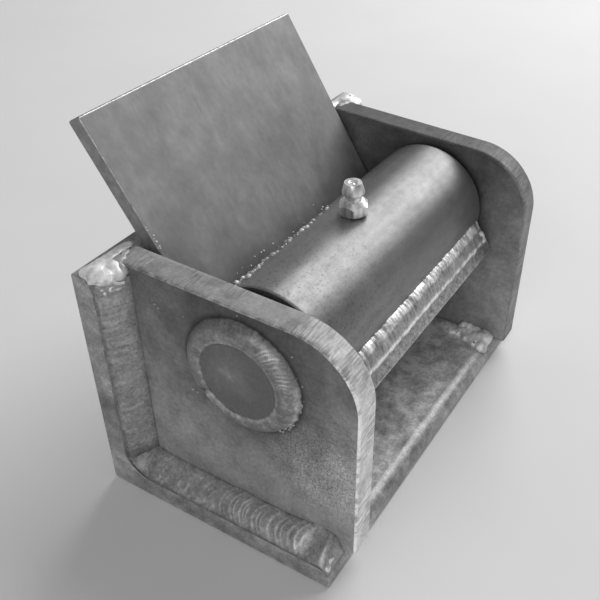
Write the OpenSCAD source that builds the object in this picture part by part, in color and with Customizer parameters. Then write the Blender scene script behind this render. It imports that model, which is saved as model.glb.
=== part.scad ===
// Weld-on dump trailer hinge
//
// A length of rolled angle carries two ears and a welded pin. A tube that lies in the
// corner of a second angle turns on the pin, so the long leg of that second angle, the
// flap, swings up and forward. At rest the flap leans back on the upright leg.
//
// Sizes are in millimetres. X runs along the pin, Y to the back and Z up.
// The origin is the middle of the base angle's underside.

/* [Base angle] */
// Width of each leg of the base angle
base_leg = 76.2; // [70:0.1:110]
// Thickness of the base angle
base_t = 6.35; // [5.2:0.05:12]
// Length of the base angle, along the pin
base_len = 130; // [100:0.5:220]
// Fillet in the base angle's inside corner
base_root_r = 7.9; // [3:0.1:12]
// Rounding on the inner edge of each toe of the base angle
base_toe_r = 4.8; // [1:0.1:6]

/* [Ears] */
// Thickness of each ear
ear_t = 7.94; // [5:0.01:14]
// Distance from the base angle's end to the outer face of the ear
ear_inset = 8.5; // [5:0.1:16]
// Height of the ear above the upright leg
ear_proud = 1.8; // [0:0.1:8]
// Reach of the ear past the flat leg
ear_reach = 3; // [0:0.1:8]
// Radius of the ear's top front corner
ear_corner_r = 19.5; // [2:0.1:24]

/* [Pin and tube] */
// Diameter of the hinge pin
pin_d = 25.4; // [16:0.1:29]
// Distance that each end of the pin stands out of its ear
pin_stand = 2.9; // [2:0.05:8]
// Chamfer on each end of the pin
pin_chamfer = 1.2; // [0.2:0.1:1.8]
// Distance from the pin's axis to the ear's top edge
pin_edge = 20.9; // [18.5:0.01:26]
// Outside diameter of the pivot tube
tube_od = 38.1; // [34:0.1:44]
// Radial running clearance of the tube on the pin
run_clear = 0.05; // [0.02:0.01:0.1]
// Radial clearance of the pin in each ear
ear_clear = 0.1; // [0.02:0.01:0.3]
// Gap between each end of the tube and the ear beside it, when the tube is centred
side_gap = 2.8; // [0.5:0.1:6]
// Share of that gap by which the tube lies off centre, towards the right ear
side_shift = 0.3; // [-0.8:0.05:0.8]
// Gap between the swinging corner of the upper angle and the upright leg
swing_gap = 5.38; // [1:0.01:6]

/* [Upper angle] */
// Thickness of the upper angle
upper_t = 4.76; // [4:0.01:10]
// Reach of the flap beyond the pin's axis
flap_reach = 72.6; // [50:0.1:78]
// Reach of the short leg beyond the pin's axis
short_reach = 14.2; // [8:0.1:17]
// Fillet in the upper angle's inside corner
upper_root_r = 7.9; // [2:0.1:12]
// Gap at rest between the flap and the toe of the upright leg
rest_gap = 0.55; // [0.1:0.05:1]

/* [Welds] */
// Leg of the upright weld on the ear
back_weld_leg = 5.2; // [3:0.1:9]
// Leg of the foot weld on the ear
foot_weld_leg = 4.5; // [3:0.1:9]
// Leg of the ring weld on the ear
pin_weld_leg = 4.9; // [2.5:0.05:5.5]
// Lap of the ring weld over the rim of the pin
pin_weld_lap = 1.6; // [0.5:0.1:3]
// Height by which the face of the ring weld is crowned
pin_weld_crown = 1.7; // [0.5:0.1:2]
// Height by which the face of each fillet weld is crowned
weld_crown = 0.7; // [0.1:0.1:1.5]
// Turn from the short leg to the edge of the tube weld, round the tube
tube_weld_turn = 52; // [44:1:66]
// Stretch of tube that is left bare at each end of the tube weld
tube_weld_bare = 2; // [0:0.1:10]

/* [Grease nipple] */
// Place of the nipple along the tube, from its middle
nipple_x = -2.7; // [-30:0.1:30]
// Turn of the nipple round the tube, from the flap
nipple_turn = 30; // [0:1:100]
// Diameter of the nipple's screwed shank
nipple_thread_d = 6.35; // [5.5:0.05:8]
// Width of the hexagon across its flats
nipple_hex = 7.94; // [7.5:0.01:11]
// Height of the nipple above the tube
nipple_h = 9.7; // [8:0.1:14]
// Largest diameter of the nipple's head
nipple_head_d = 6.5; // [6:0.1:7.5]
// Diameter of the check ball
ball_d = 2.5; // [2.2:0.1:2.7]

/* [Hidden] */

// Sides of a full circle, on large and on small round shapes
round_fn = 96;
small_fn = 48;
// Allowance by which cutting shapes run past what they cut
past = 1;

// Base angle and ears
back_y = base_leg / 2;
leg_face_y = back_y - base_t;
toe_y = back_y - base_leg;
ear_face_x = base_len / 2 - ear_inset;
ear_mid_x = ear_face_x - ear_t / 2;
ear_inner_x = ear_face_x - ear_t;
ear_top = base_leg + ear_proud;
ear_front = base_leg + ear_reach;
ear_snip = base_root_r + past;
ear_bore_r = pin_d / 2 + ear_clear;

// Pin and tube
pin_r = pin_d / 2;
pin_len = 2 * (ear_face_x + pin_stand);
tube_r = tube_od / 2;
tube_bore_r = pin_r + run_clear;
tube_len = 2 * (ear_inner_x - side_gap);
tube_x = side_shift * side_gap;
tube_wall = tube_r - tube_bore_r;
tube_chamfer = tube_wall / 10;
heel_reach = sqrt(2) * (tube_r + upper_t);
pin_back = base_t + heel_reach + swing_gap;
pin_y = back_y - pin_back;
pin_z = ear_top - pin_edge;

// Lean of the flap at which its back just clears the rounded toe of the upright leg
toe_from_pin = [pin_back - base_t + base_toe_r, base_leg - base_toe_r - pin_z];
flap_back = tube_r + upper_t;
rest_lean = atan2(toe_from_pin.y, toe_from_pin.x)
    + asin((flap_back + rest_gap + base_toe_r) / norm(toe_from_pin));

// Welds
mitre = 2 * max(back_weld_leg, foot_weld_leg);
run_end = base_leg - base_toe_r / 4;
foot_end_cut = 0.4 * ear_inset;
wrap_r = 0.57 * ear_inset;
wrap_sink = 0.47 * wrap_r;
tack_r = base_toe_r;
tack_start_y = toe_y + base_leg / 4;
tack_end_y = toe_y + tack_r;
tack_leg = 5;
tack_rise = 3;
tube_weld_root = tube_r / 5;
weld_lip = 1;

// Grease nipple, upwards from its seat on the tube
thread_clear = 0.05;
shank_end_gap = tube_wall / 8;
shank_len = tube_wall - shank_end_gap;
shank_r = nipple_thread_d / 2 - thread_clear;
hex_low = 0.16 * nipple_h;
hex_h = 0.45 * nipple_h;
hex_shoulder = 0.7;
hex_corner_r = nipple_hex / 2 / cos(30);
neck_top = 0.64 * nipple_h;
neck_r = 0.42 * nipple_head_d;
head_wide_low = 0.7 * nipple_h;
head_wide_high = 0.76 * nipple_h;
head_r = nipple_head_d / 2;
tip_r = 0.36 * nipple_head_d;
tip_round = 0.4;
ball_r = ball_d / 2;
chamber_r = ball_r + 0.15;
mouth_r = 0.76 * ball_r;
mouth_h = 0.75;
valve_clear = 0.02;
chamber_top = nipple_h - mouth_h;
ball_z = chamber_top - sqrt(ball_r * ball_r - mouth_r * mouth_r) - valve_clear;
chamber_floor = 0.8 - shank_len;
outlet_r = 0.65 * ball_r;
wire_r = 0.17;
coil_r = 0.8 * ball_r;
coil_low = chamber_floor + wire_r + valve_clear;
coil_high = ball_z - sqrt(pow(ball_r + wire_r + valve_clear, 2) - coil_r * coil_r);
coil_turns = 8;
coil_steps = 12;
wire_sides = 6;

// Radius of an arc from its chord and its rise
function arc_r(chord, rise) = chord * chord / (8 * rise) + rise / 2;

// Carries a flat shape drawn in Y and Z along the pin
module along_pin(length) {
    rotate([90, 0, 90])
        linear_extrude(length, center = true)
            children();
}

// Puts a shape that is drawn round the pin's axis in its place, at rest
module at_pin() {
    translate([tube_x, pin_y, pin_z])
        rotate([rest_lean, 0, 0])
            children();
}

// Puts a shape on top of the tube, where the nipple screws in
module at_nipple() {
    at_pin()
        translate([nipple_x, 0, 0])
            rotate([nipple_turn - 90, 0, 0])
                translate([0, 0, tube_r])
                    children();
}

// What a rounding of radius r takes off a corner
module corner_waste(r) {
    difference() {
        square(r + past);
        circle(r = r, $fn = round_fn);
    }
}

// Section of an angle with its heel at the origin
module angle_section(leg_a, leg_b, t, root_r) {
    difference() {
        union() {
            square([leg_a, t]);
            square([t, leg_b]);
            square(t + root_r);
        }
        translate([t + root_r, t + root_r])
            circle(r = root_r, $fn = round_fn);
    }
}

// Section of a fillet weld in the first quadrant, with a crowned face
module fillet_section(a, b, crown) {
    chord = norm([a, b]);
    face_r = arc_r(chord, crown);
    setback = face_r - crown;
    intersection() {
        square([a, b] * 2);
        translate([a / 2 - b / chord * setback, b / 2 - a / chord * setback])
            circle(r = face_r, $fn = round_fn);
    }
}

// Section of the base angle, with rounded toes
module base_section() {
    difference() {
        angle_section(base_leg, base_leg, base_t, base_root_r);
        translate([base_leg - base_toe_r, base_t - base_toe_r])
            corner_waste(base_toe_r);
        translate([base_t - base_toe_r, base_leg - base_toe_r])
            corner_waste(base_toe_r);
    }
}

// Carries a section that is measured from the heel of the base angle along the pin
module from_heel(length) {
    translate([0, back_y, 0])
        mirror([0, 1, 0])
            along_pin(length)
                children();
}

// Base angle
module base_angle() {
    color([0.42, 0.42, 0.43])
        from_heel(base_len)
            base_section();
}

// Flat shape of an ear, measured from the heel of the base angle
module ear_section() {
    difference() {
        polygon([
            [base_t + ear_snip, base_t], [ear_front, base_t], [ear_front, ear_top],
            [base_t, ear_top], [base_t, base_t + ear_snip]
        ]);
        translate([ear_front - ear_corner_r, ear_top - ear_corner_r])
            corner_waste(ear_corner_r);
        translate([pin_back, pin_z])
            circle(r = ear_bore_r, $fn = round_fn);
    }
}

// Ear at a place along the pin
module ear(x) {
    color([0.34, 0.34, 0.35])
        translate([x, 0, 0])
            from_heel(ear_t)
                ear_section();
}

module left_ear() {
    ear(-ear_mid_x);
}

module right_ear() {
    ear(ear_mid_x);
}

// Pin with chamfered ends
module hinge_pin() {
    color([0.3, 0.3, 0.31])
        translate([0, pin_y, pin_z])
            rotate([0, 90, 0])
                rotate_extrude($fn = round_fn)
                    pin_section();
}

// Half section of the pin about its axis
module pin_section() {
    polygon([
        [0, -pin_len / 2], [pin_r - pin_chamfer, -pin_len / 2],
        [pin_r, pin_chamfer - pin_len / 2], [pin_r, pin_len / 2 - pin_chamfer],
        [pin_r - pin_chamfer, pin_len / 2], [0, pin_len / 2]
    ]);
}

// Fillet section that runs out over the end of the base angle, and back past the face it lies on
module end_fillet_section(a, b, crown) {
    intersection() {
        union() {
            fillet_section(a + weld_lip, b, crown);
            translate([0, -base_t])
                square([a, base_t]);
        }
        translate([0, -base_t])
            square([a, 2 * (base_t + b)]);
    }
}

// Upright weld on the right ear, from the mitre with the foot weld to a lump on the leg's top
module back_weld() {
    color([0.5, 0.5, 0.51]) {
        intersection() {
            translate([ear_face_x, leg_face_y, 0])
                mirror([0, 1, 0])
                    linear_extrude(base_leg)
                        end_fillet_section(ear_inset, back_weld_leg, weld_crown);
            from_heel(base_len + 2 * past)
                difference() {
                    polygon([
                        [base_t, base_t], [base_t + mitre, base_t + mitre], [base_t + mitre, run_end],
                        [base_t - base_toe_r, run_end], [base_t - base_toe_r, base_t]
                    ]);
                    base_section();
                }
        }
        difference() {
            translate([ear_face_x + ear_inset / 2, leg_face_y + base_t / 6, base_leg - wrap_sink])
                sphere(r = wrap_r, $fn = round_fn);
            base_angle();
            right_ear();
        }
    }
}

module left_back_weld() {
    mirror([1, 0, 0])
        back_weld();
}

module right_back_weld() {
    back_weld();
}

// Foot weld on the right ear, from the mitre with the upright weld to the rounded toe
module foot_weld() {
    color([0.5, 0.5, 0.51])
        difference() {
            intersection() {
                translate([ear_face_x, back_y, base_t])
                    rotate([90, 0, 0])
                        linear_extrude(base_leg)
                            end_fillet_section(ear_inset, foot_weld_leg, weld_crown);
                from_heel(base_len + 2 * past)
                    difference() {
                        polygon([
                            [base_t, base_t], [base_t + mitre, base_t + mitre], [run_end, base_t + mitre],
                            [run_end, base_t - base_toe_r], [base_t, base_t - base_toe_r]
                        ]);
                        base_section();
                    }
            }
            translate([base_len / 2 - foot_end_cut, back_y - run_end, 0])
                rotate([0, 0, 45])
                    translate([-ear_inset, -2 * ear_inset, 0])
                        cube([4 * ear_inset, 2 * ear_inset, base_leg]);
        }
}

module left_foot_weld() {
    mirror([1, 0, 0])
        foot_weld();
}

module right_foot_weld() {
    foot_weld();
}

// Ring weld on the right ear, which laps the rim of the pin
module pin_weld() {
    outer = [pin_r + pin_weld_leg, 0];
    inner = [pin_r - pin_weld_lap, pin_stand];
    chord = norm(outer - inner);
    face_r = arc_r(chord, pin_weld_crown);
    out_dir = [pin_stand, outer.x - inner.x] / chord;
    face_centre = (outer + inner) / 2 - out_dir * (face_r - pin_weld_crown);
    color([0.46, 0.46, 0.47])
        translate([ear_face_x, pin_y, pin_z])
            rotate([0, 90, 0])
                rotate_extrude($fn = round_fn)
                    difference() {
                        intersection() {
                            translate([inner.x, 0])
                                square([2 * pin_weld_leg + pin_weld_lap, pin_stand + pin_weld_crown]);
                            translate(face_centre)
                                circle(r = face_r, $fn = round_fn);
                        }
                        translate([0, pin_stand - pin_len / 2])
                            pin_section();
                    }
}

module left_pin_weld() {
    mirror([1, 0, 0])
        pin_weld();
}

module right_pin_weld() {
    pin_weld();
}

// Tack inside the front foot of the right ear: a short run that ends in a lump
module right_ear_tack() {
    color([0.5, 0.5, 0.51])
        difference() {
            union() {
                translate([ear_inner_x, tack_start_y, base_t])
                    mirror([1, 0, 0])
                        rotate([90, 0, 0])
                            linear_extrude(tack_start_y - tack_end_y)
                                fillet_section(tack_leg, tack_rise, weld_crown);
                translate([ear_inner_x - tack_r / 2, tack_end_y, base_t - past])
                    sphere(r = tack_r, $fn = small_fn);
            }
            base_angle();
            right_ear();
        }
}

// Upper angle: a long leg that is the flap, and a leg cut short under the tube
module upper_angle() {
    color([0.55, 0.55, 0.56])
        at_pin()
            along_pin(tube_len)
                translate([-flap_back, -flap_back])
                    angle_section(flap_back + flap_reach, flap_back + short_reach, upper_t, upper_root_r);
}

// Pivot tube, tapped for the nipple
module pivot_tube() {
    color([0.6, 0.6, 0.61])
        difference() {
            at_pin()
                rotate([0, 90, 0])
                    rotate_extrude($fn = round_fn)
                        polygon([
                            [tube_bore_r, -tube_len / 2], [tube_r - tube_chamfer, -tube_len / 2],
                            [tube_r, tube_chamfer - tube_len / 2], [tube_r, tube_len / 2 - tube_chamfer],
                            [tube_r - tube_chamfer, tube_len / 2], [tube_bore_r, tube_len / 2]
                        ]);
            at_nipple()
                translate([0, 0, -tube_wall - past])
                    cylinder(d = nipple_thread_d, h = tube_wall + 2 * past, $fn = small_fn);
        }
}

// Weld between the tube and the edge of the short leg
module tube_weld() {
    ridge = [-tube_r, short_reach];
    edge = tube_r * [-cos(tube_weld_turn), sin(tube_weld_turn)];
    chord = norm(edge - ridge);
    face_r = arc_r(chord, weld_crown);
    out_dir = [ridge.y - edge.y, edge.x - ridge.x] / chord;
    face_centre = (ridge + edge) / 2 - out_dir * (face_r - weld_crown);
    color([0.62, 0.62, 0.63])
        at_pin()
            along_pin(tube_len - 2 * tube_weld_bare)
                difference() {
                    intersection() {
                        translate([ridge.x, tube_weld_root])
                            square([edge.x - ridge.x, tube_r]);
                        translate(face_centre)
                            circle(r = face_r, $fn = round_fn);
                    }
                    circle(r = tube_r, $fn = round_fn);
                }
}

// Body of the nipple: screwed shank, hexagon, neck and head, with a stepped bore
module nipple_body() {
    color([0.75, 0.75, 0.76])
        at_nipple()
            difference() {
                union() {
                    translate([0, 0, -shank_len])
                        cylinder(r = shank_r, h = shank_len + hex_h / 2, $fn = small_fn);
                    intersection() {
                        translate([0, 0, hex_low])
                            cylinder(r = hex_corner_r, h = hex_h - hex_low, $fn = 6);
                        cylinder(r1 = nipple_hex / 2 - hex_shoulder + hex_h, r2 = nipple_hex / 2 - hex_shoulder,
                                 h = hex_h, $fn = small_fn);
                    }
                    rotate_extrude($fn = small_fn)
                        polygon([
                            [0, hex_h / 2], [neck_r, hex_h / 2], [neck_r, neck_top],
                            [head_r, head_wide_low], [head_r, head_wide_high],
                            [tip_r, nipple_h - tip_round], [tip_r - tip_round, nipple_h], [0, nipple_h]
                        ]);
                }
                rotate_extrude($fn = small_fn)
                    polygon([
                        [0, -shank_len - past], [outlet_r, -shank_len - past], [outlet_r, chamber_floor],
                        [chamber_r, chamber_floor], [chamber_r, chamber_top],
                        [mouth_r, chamber_top], [mouth_r, nipple_h + past], [0, nipple_h + past]
                    ]);
            }
}

// Check ball, just under its seat in the mouth of the nipple
module nipple_ball() {
    color([0.8, 0.8, 0.81])
        at_nipple()
            translate([0, 0, ball_z])
                sphere(r = ball_r, $fn = small_fn);
}

// Point on the skin of the spring's wire: step along the coil, side round the wire
function coil_point(step, side) =
    let (turn = 360 * step / coil_steps)
    let (round_wire = 360 * side / wire_sides)
    let (out = coil_r + wire_r * cos(round_wire))
    let (rise = (coil_high - coil_low) * step / (coil_turns * coil_steps))
    [out * cos(turn), out * sin(turn), coil_low + rise + wire_r * sin(round_wire)];

// Spring that holds the ball up against its seat
module nipple_spring() {
    last = coil_turns * coil_steps;
    skin = [for (step = [0:last]) for (side = [0:wire_sides - 1]) coil_point(step, side)];
    walls = [
        for (step = [0:last - 1]) for (side = [0:wire_sides - 1])
            let (here = step * wire_sides, next = (side + 1) % wire_sides)
            for (face = [
                [here + side, here + next, here + wire_sides + next],
                [here + side, here + wire_sides + next, here + wire_sides + side]
            ]) face
    ];
    start_cap = [for (side = [wire_sides - 1:-1:0]) side];
    end_cap = [for (side = [0:wire_sides - 1]) last * wire_sides + side];
    color([0.7, 0.7, 0.71])
        at_nipple()
            polyhedron(skin, concat(walls, [start_cap, end_cap]));
}

base_angle();
left_ear();
right_ear();
hinge_pin();
left_back_weld();
right_back_weld();
left_foot_weld();
right_foot_weld();
left_pin_weld();
right_pin_weld();
right_ear_tack();
upper_angle();
pivot_tube();
tube_weld();
nipple_body();
nipple_ball();
nipple_spring();
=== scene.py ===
"""Dresses the solids of a dump trailer hinge: rolled angle, cut ears, rippled welds, tube and nipple."""

import math
import random
from math import cos, exp, pi, radians, sin, sqrt

import bmesh
import bpy
import numpy as np
from bpy.props import FloatProperty, FloatVectorProperty, PointerProperty
from bpy.types import Operator, Panel, PropertyGroup
from mathutils import Matrix, Vector, noise


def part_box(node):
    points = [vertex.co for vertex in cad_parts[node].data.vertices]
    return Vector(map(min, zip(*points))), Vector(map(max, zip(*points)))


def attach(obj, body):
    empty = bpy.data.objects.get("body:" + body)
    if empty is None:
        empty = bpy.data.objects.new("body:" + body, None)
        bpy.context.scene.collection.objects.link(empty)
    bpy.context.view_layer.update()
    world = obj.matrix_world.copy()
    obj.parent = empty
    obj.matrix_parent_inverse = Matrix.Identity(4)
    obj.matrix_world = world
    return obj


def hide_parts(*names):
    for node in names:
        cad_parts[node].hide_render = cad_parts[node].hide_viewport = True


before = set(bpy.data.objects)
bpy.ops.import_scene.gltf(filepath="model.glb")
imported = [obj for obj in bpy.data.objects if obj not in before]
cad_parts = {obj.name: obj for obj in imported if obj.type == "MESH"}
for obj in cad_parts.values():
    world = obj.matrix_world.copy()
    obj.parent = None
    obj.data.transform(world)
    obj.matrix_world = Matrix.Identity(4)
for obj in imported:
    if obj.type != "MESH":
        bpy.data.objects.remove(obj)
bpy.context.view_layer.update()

bl_info = {
    "name": "Dump Trailer Hinge",
    "version": (1, 0, 0),
    "blender": (4, 5, 0),
    "location": "View3D > Sidebar > Hinge",
    "description": "Builds the skin, welds and finishes of a weld-on dump trailer hinge round its solids",
    "category": "Object",
}

MM = 0.001


def span(node):
    """Lowest and highest corner of a solid, in millimetres."""
    low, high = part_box(node)
    return low / MM, high / MM


# Sizes of the solids, in millimetres. X runs along the pin, Y to the back, Z up.
base_low, base_high = span("base_angle")
ear_low, ear_high = span("right_ear")
pin_low, pin_high = span("hinge_pin")
tube_low, tube_high = span("pivot_tube")
BACK = base_high.y
HALF = base_high.x
LEG = base_high.z
EAR_OUT = ear_high.x
EAR_IN = ear_low.x
EAR_TOP = ear_high.z
EAR_FRONT = BACK - ear_low.y
WALL = BACK - ear_high.y
PIN_Y = (pin_low.y + pin_high.y) / 2
PIN_Z = (pin_low.z + pin_high.z) / 2
PIN_R = (pin_high.z - pin_low.z) / 2
PIN_END = pin_high.x
TUBE_R = (tube_high.z - tube_low.z) / 2
TUBE_MID = (tube_low.x + tube_high.x) / 2
TUBE_HALF = (tube_high.x - tube_low.x) / 2
SHELF = HALF - EAR_OUT
RING_R = span("right_pin_weld")[1].z - PIN_Z
NIPPLE_X = sum(c.x for c in span("nipple_ball")) / 2

# Sizes that the solids share but that no box gives
ROOT_R = 7.9
TOE_R = 4.8
EAR_CORNER = 19.5
LEAN = radians(57.276)
UPPER_T = 4.76
UPPER_BACK = TUBE_R + UPPER_T
FLAP_REACH = 72.6
SHORT_REACH = 14.2
BACK_LEG = 5.2
FOOT_LEG = 4.5
PIN_LAP = 1.6
NIPPLE_TURN = radians(30)
NIPPLE_H = 9.7
NIPPLE_HEX = 7.94
NIPPLE_HEAD = 3.25

# Fineness of the meshes: points round a turned piece, and across and along a bead
TURN_STEPS = 96
TUBE_STEPS = 128
BORE_STEPS = 72
BEAD_STEPS = 20
RING_STATIONS = 420

# Stage, in metres: lamps by name, place, width and watts, and how the camera is turned and shifted
LAMPS = (("key", (0.85, -0.1, 0.82), 1.1, 12.0), ("left", (-0.9, -0.4, 0.7), 0.9, 4.0))
LAMP_AIM = Vector((0, 0, 0.05))
SKY_GREY = 0.5
SKY_STRENGTH = 0.4
FLOOR_HALF = 3
FLOOR_Z = -0.0002
SENSOR_MM = 36
EYE_RIGHT = Vector((0.480675, -0.875529, 0.048999))
EYE_DOWN = Vector((-0.518467, -0.32882, -0.789347))
EYE_SHIFT = (-0.1504, -0.0071)


class HingeSurfaceSizes(PropertyGroup):
    """Sizes of the small forms that the solids leave out"""

    edge_round: FloatProperty(
        name="Edge Rounding", description="Rounding on the edges of the cut plates, in millimetres",
        default=0.55, min=0.1, max=1.5)
    drag_depth: FloatProperty(
        name="Drag Line Depth", description="Depth of the drag lines on flame-cut edges, in millimetres",
        default=0.05, min=0.0, max=0.5)
    ripple_pitch: FloatProperty(
        name="Ripple Pitch", description="Distance from one weld ripple to the next, in millimetres",
        default=2.1, min=1.0, max=5.0)
    ripple_height: FloatProperty(
        name="Ripple Height", description="Height of the weld ripples, in millimetres",
        default=0.22, min=0.0, max=1.0)


class HingeFinishes(PropertyGroup):
    """Colours of the bare steel finishes"""

    mill_colour: FloatVectorProperty(
        name="Mill Scale", description="Colour of rolled steel with its mill scale",
        subtype="COLOR", min=0.0, max=1.0, default=(0.32, 0.32, 0.32))
    plate_colour: FloatVectorProperty(
        name="Plate", description="Colour of the faces of the cut ears",
        subtype="COLOR", min=0.0, max=1.0, default=(0.32, 0.32, 0.32))
    cut_colour: FloatVectorProperty(
        name="Cut Edge", description="Colour of flame-cut edges",
        subtype="COLOR", min=0.0, max=1.0, default=(0.45, 0.45, 0.45))
    weld_colour: FloatVectorProperty(
        name="Weld Metal", description="Colour of bare weld metal",
        subtype="COLOR", min=0.0, max=1.0, default=(0.42, 0.42, 0.42))
    # Near white: a painted reflection of the lamps on the shiny lumps.
    lump_colour: FloatVectorProperty(
        name="Weld Lumps", description="Colour of weld lumps and spatter that cooled shiny",
        subtype="COLOR", min=0.0, max=1.0, default=(0.9, 0.9, 0.9))
    tube_colour: FloatVectorProperty(
        name="Tube", description="Colour of the drawn tube",
        subtype="COLOR", min=0.0, max=1.0, default=(0.23, 0.23, 0.23))
    bar_colour: FloatVectorProperty(
        name="Bar End", description="Colour of the pin's sawn end",
        subtype="COLOR", min=0.0, max=1.0, default=(0.22, 0.22, 0.22))
    zinc_colour: FloatVectorProperty(
        name="Zinc", description="Colour of the nipple's zinc plate",
        subtype="COLOR", min=0.0, max=1.0, default=(0.9, 0.9, 0.9))


class HingeStage(PropertyGroup):
    """Floor, lamps and camera"""

    floor_colour: FloatVectorProperty(
        name="Floor", description="Colour of the floor",
        subtype="COLOR", min=0.0, max=1.0, default=(0.8, 0.8, 0.8))
    lens: FloatProperty(
        name="Lens", description="Focal length of the camera, in millimetres",
        unit="CAMERA", default=50.76, min=20.0, max=200.0)
    eye: FloatVectorProperty(
        name="Eye", description="Place of the camera", subtype="TRANSLATION", unit="LENGTH",
        default=(-0.17835, -0.1079, 0.20445))


# Places


def heel_point(x, p, q):
    """Point at x along the pin, p forward of the back face and q above the underside."""
    return (x, BACK - p, q)


def swing_point(x, u, v):
    """Point of the swinging half: x from the tube's middle, u up the flap and v out of it, from the axis."""
    return (TUBE_MID + x, PIN_Y + u * cos(LEAN) - v * sin(LEAN), PIN_Z + u * sin(LEAN) + v * cos(LEAN))


def pin_point(x, r, a):
    """Point at x along the pin and r from its axis, turned up by a from straight back."""
    return (x, PIN_Y + r * cos(a), PIN_Z + r * sin(a))


def wander(*where):
    """Smooth noise from -1 to 1 at a place."""
    return noise.noise(Vector((where + (0.0, 0.0))[:3]))


def clamp(x):
    """Number held between 0 and 1."""
    return min(1.0, max(0.0, x))


def ease(low, high, x):
    """0 below low, 1 above high and smooth between."""
    t = clamp((x - low) / (high - low))
    return t * t * (3 - 2 * t)


def bell(x, middle, width):
    """1 at the middle, falling away smoothly on both sides."""
    return exp(-((x - middle) / width) ** 2)


def round_off(s, end, run, least):
    """1 along a bead, falling as a quarter circle does over its last run."""
    return sqrt(max(least, 1 - (max(0.0, s - end + run) / (run + 0.1)) ** 2))


# Meshes


def rounded_outline(corners, step=0.6):
    """Closed outline through corners (x, y, radius), anticlockwise, with each corner rounded."""
    points = []
    count = len(corners)
    for i, (x, y, r) in enumerate(corners):
        here = Vector((x, y))
        if r <= 0:
            points.append(here)
            continue
        before = (Vector(corners[i - 1][:2]) - here).normalized()
        after = (Vector(corners[(i + 1) % count][:2]) - here).normalized()
        half = before.angle(after) / 2
        centre = here + (before + after).normalized() * (r / sin(half))
        first = here + before * (r / math.tan(half)) - centre
        turn = first.angle_signed(here + after * (r / math.tan(half)) - centre)
        steps = max(4, int(abs(turn) * r / step))
        for k in range(steps + 1):
            a = -turn * k / steps
            points.append(centre + Vector((first.x * cos(a) - first.y * sin(a),
                                           first.x * sin(a) + first.y * cos(a))))
    return points


def inset_outline(points, depths):
    """Outline moved inward, at each point by a depth of its own."""
    count = len(points)
    moved = []
    for i, (here, depth) in enumerate(zip(points, depths)):
        d1 = (here - points[i - 1]).normalized()
        d2 = (points[(i + 1) % count] - here).normalized()
        n = Vector((-d1.y - d2.y, d1.x + d2.x))
        n = n.normalized() / max(0.35, sqrt((1 + d1.dot(d2)) / 2))
        moved.append(here + n * depth)
    return moved


def resample(points, pitch):
    """Outline with extra points, so that none of its stretches is longer than pitch."""
    out = []
    for i, here in enumerate(points):
        there = points[(i + 1) % len(points)]
        cuts = max(1, math.ceil((there - here).length / pitch))
        out += [here.lerp(there, k / cuts) for k in range(cuts)]
    return out


def skin(rings, closed_run=False):
    """Vertices and faces of a closed skin over rings of points, with a flat cap at each end."""
    n = len(rings[0])
    verts = [p for ring in rings for p in ring]
    faces = []
    last = len(rings) if closed_run else len(rings) - 1
    for i in range(last):
        a, b = i * n, (i + 1) % len(rings) * n
        for k in range(n):
            m = (k + 1) % n
            faces.append((a + k, a + m, b + m, b + k))
    if not closed_run:
        faces.append(tuple(range(n))[::-1])
        faces.append(tuple((len(rings) - 1) * n + k for k in range(n)))
    return verts, faces


def show_mesh(name, mesh, body, slot, finishes, nodes, sharp):
    """Object that shows a mesh, dressed, and riding on a body."""
    for finish in finishes:
        mesh.materials.append(finish_named(finish))
    mesh.shade_smooth()
    mesh.set_sharp_from_angle(angle=radians(sharp))
    piece = bpy.data.objects.new(name, mesh)
    bpy.context.scene.collection.objects.link(piece)
    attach(piece, body)
    if nodes:
        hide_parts(*nodes)
    return piece


def make_piece(name, verts, faces, body, slot, finishes, nodes=(), sharp=38, values=None, finish_of=None):
    """Piece from points and faces in millimetres; values are the numbers that its points carry."""
    mesh = bpy.data.meshes.new(name)
    mesh.from_pydata([Vector(v) * MM for v in verts], [], faces)
    for attribute, numbers in (values or {}).items():
        layer = mesh.attributes.new(attribute, "FLOAT", "POINT")
        layer.data.foreach_set("value", np.asarray(numbers, np.float32))
    facing = bmesh.new()
    facing.from_mesh(mesh)
    bmesh.ops.recalc_face_normals(facing, faces=facing.faces)
    facing.to_mesh(mesh)
    facing.free()
    piece = show_mesh(name, mesh, body, slot, finishes, nodes, sharp)
    if finish_of:
        for face in mesh.polygons:
            face.material_index = finish_of(face)
    piece.modifiers.new("Even Faces", "WEIGHTED_NORMAL").keep_sharp = True
    return piece


def bar_rings(outline, half, edge, place, steps=4):
    """Rings of an outline carried from -half to half, with both end edges rounded by edge."""
    painted_rim_shading = []
    for k in range(steps + 1):
        a = k / steps * pi / 2
        painted_rim_shading.append((half - edge * (1 - cos(a)), edge * (1 - sin(a))))
    runs = [(-x, depth) for x, depth in painted_rim_shading] + [(0, 0)] + painted_rim_shading[::-1]
    return [[place(x, p.x, p.y) for p in inset_outline(outline, [depth] * len(outline))] for x, depth in runs]


def turned(profile, steps, place):
    """Skin of a closed half section turned round an axis; place takes radius, height and turn."""
    rings = [[place(r, h, 2 * pi * k / steps) for r, h in profile] for k in range(steps)]
    return skin(rings, closed_run=True)


def ripple_phase(length, pitch, seed):
    """Places along a run where one ripple ends and the next begins, at an uneven pitch."""
    rng = random.Random(seed)
    edges = [-pitch]
    while edges[-1] < length + pitch:
        edges.append(edges[-1] + pitch * rng.uniform(0.45, 1.6))
    return np.array(edges)


def ripple(edges, s, t, bulge):
    """Height of the ripples and of the painted highlight on their lips, 0 to 1: s along the run, t from -1 to
    1 across it.
    """
    phase = np.interp(s - bulge * (t * t - 0.4), edges, np.arange(len(edges)))
    f = phase - math.floor(phase)
    return f * f * ease(1.0, 0.8, f), bell(f, 0.78, 0.13)


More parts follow.
